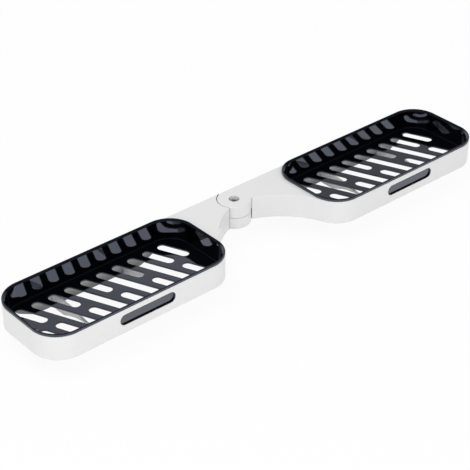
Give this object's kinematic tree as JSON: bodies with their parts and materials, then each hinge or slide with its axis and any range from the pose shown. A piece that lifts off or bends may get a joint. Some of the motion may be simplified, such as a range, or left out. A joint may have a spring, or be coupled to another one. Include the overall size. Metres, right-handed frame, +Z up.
{
  "type": "folding wall shelf",
  "caption": "Folding bathroom shelf: white frames on an upright hinge, each with a black slotted lift-out tray, hung on adhesive wall brackets.",
  "frame": {"origin": "middle of the shelf's length and depth, at the level of the wall brackets' feet", "axes": "+Z up, +Y towards the wall, +X along the shelf to the right as seen from the room"},
  "size_m": [0.6108, 0.1106, 0.0501],
  "materials": {
    "white_plastic": "satin moulded",
    "bracket_plastic": "satin moulded",
    "black_plastic": "gloss moulded",
    "steel": "zinc plated",
    "brass": "turned",
    "nylon": "matte",
    "foam": "matte foam tape"
  },
  "bodies": {
    "left_bracket": {"left_wall_bracket": "bracket_plastic", "left_adhesive_pad": "foam"},
    "left_shelf": {"left_frame": "white_plastic", "left_window_inlay": "black_plastic", "pivot_screw": "steel", "screw_washer": "steel", "pivot_sleeve": "brass", "friction_washer": "nylon", "nut_washer": "steel", "pivot_nut": "steel", "pivot_cap": "white_plastic"},
    "right_shelf": {"right_frame": "white_plastic", "right_window_inlay": "black_plastic"},
    "right_bracket": {"right_wall_bracket": "bracket_plastic", "right_adhesive_pad": "foam"},
    "left_basket": {"left_tray": "black_plastic"},
    "right_basket": {"right_tray": "black_plastic"}
  },
  "joints": [
    {"name": "left_frame_lift", "type": "slide", "parent": "left_bracket", "child": "left_shelf", "axis": [0, 0, 1], "range_m": [0, 0.012]},
    {"name": "fold", "type": "hinge", "parent": "left_shelf", "child": "right_shelf", "pos_m": [0, 0.0319, 0.0467], "axis": [0, 0, -1], "range_deg": [0, 90]},
    {"name": "right_bracket_drop", "type": "slide", "parent": "right_shelf", "child": "right_bracket", "axis": [0, 0, -1], "range_m": [0, 0.012]},
    {"name": "left_tray_lift", "type": "slide", "parent": "left_shelf", "child": "left_basket", "axis": [0, 0, 1], "range_m": [0, 0.05]},
    {"name": "right_tray_lift", "type": "slide", "parent": "right_shelf", "child": "right_basket", "axis": [0, 0, 1], "range_m": [0, 0.05]}
  ]
}
